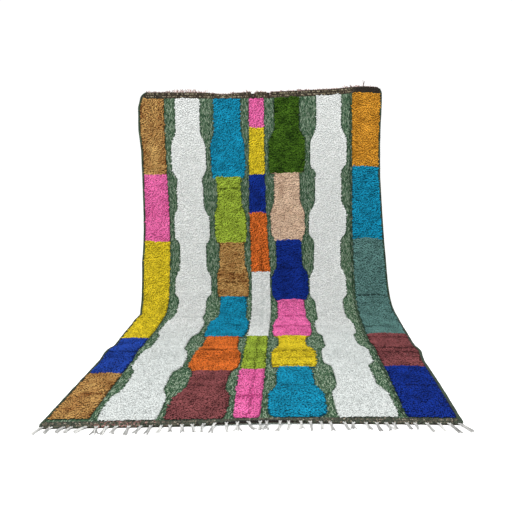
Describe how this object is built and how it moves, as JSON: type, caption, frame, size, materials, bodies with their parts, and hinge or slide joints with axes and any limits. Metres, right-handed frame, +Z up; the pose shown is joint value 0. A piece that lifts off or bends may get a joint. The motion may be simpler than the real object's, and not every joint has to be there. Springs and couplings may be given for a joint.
{
  "type": "hung beni ourain rug",
  "caption": "Knotted wool pile rug with wavy colour-block columns, hung from its top edge and swept forward over the floor, with fringed ends.",
  "frame": {"origin": "middle of the rug's top edge, on the plane of the wall behind it", "axes": "+Z up, +Y into the wall, +X to the right across the rug for someone who faces it"},
  "size_m": [1.9826, 1.9246, 1.758],
  "materials": {
    "knotted_wool": "hand-knotted wool pile in coloured blocks on a heathered green ground, matte",
    "warp_tufts": "loose cut warp ends, matte",
    "knotted_warp": "cream cotton warp, knotted, matte"
  },
  "bodies": {
    "root": {"rug": "knotted_wool", "fringe_top": "warp_tufts", "fringe_floor": "knotted_warp"}
  },
  "joints": []
}
